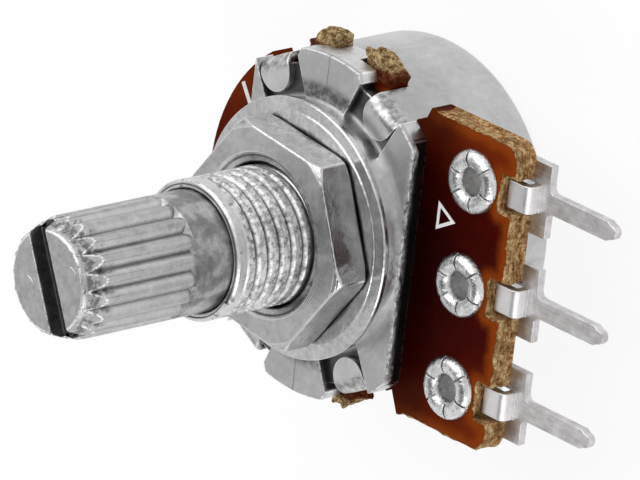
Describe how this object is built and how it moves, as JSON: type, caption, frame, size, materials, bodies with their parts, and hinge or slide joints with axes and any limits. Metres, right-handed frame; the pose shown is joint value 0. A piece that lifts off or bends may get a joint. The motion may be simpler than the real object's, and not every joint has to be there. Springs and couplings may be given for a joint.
{
  "type": "rotary potentiometer",
  "caption": "Rotary potentiometer with a threaded bushing, nut and washer, a knurled slotted metal shaft, a round metal case and flat solder pins on a phenolic board.",
  "frame": {"origin": "on the shaft axis, in the front face of the boss, which seats against a panel", "axes": "+Z along the shaft to its tip, -Y from the shaft axis to the row of pins, X along the row of pins"},
  "size_m": [0.0186, 0.0267, 0.0251],
  "materials": {
    "zinc": "die-cast zinc, as cast, soft satin",
    "nickel": "nickel plate, bright with fine turning marks",
    "shaft_zinc": "die-cast zinc, slightly cloudy, worn bright on edges",
    "spring_steel": "dark oiled spring steel",
    "rotor_plastic": "moulded brown phenolic",
    "spring_brass": "rolled spring brass",
    "phenolic": "laminated phenolic paper, red-brown and half gloss, with pale fibrous cut edges",
    "carbon": "screened carbon ink",
    "silver_print": "screened silver ink, dull",
    "tin": "dull tin plate",
    "case_steel": "drawn plated steel, satin"
  },
  "bodies": {
    "housing": {"bushing_plate": "zinc", "washer": "nickel", "hex_nut": "nickel", "board": "phenolic", "resistive_track": "carbon", "collector": "silver_print", "end_contact_1": "silver_print", "end_contact_3": "silver_print", "terminal_1": "tin", "terminal_2": "tin", "terminal_3": "tin", "eyelet_1": "tin", "eyelet_2": "tin", "eyelet_3": "tin", "case": "case_steel"},
    "spindle": {"shaft": "shaft_zinc", "retaining_ring": "spring_steel", "rotor": "rotor_plastic", "wiper": "spring_brass"}
  },
  "joints": [
    {"name": "shaft_turn", "type": "hinge", "parent": "housing", "child": "spindle", "pos_m": [0, 0, 0], "axis": [0, 0, 1], "range_deg": [0, 300]}
  ]
}
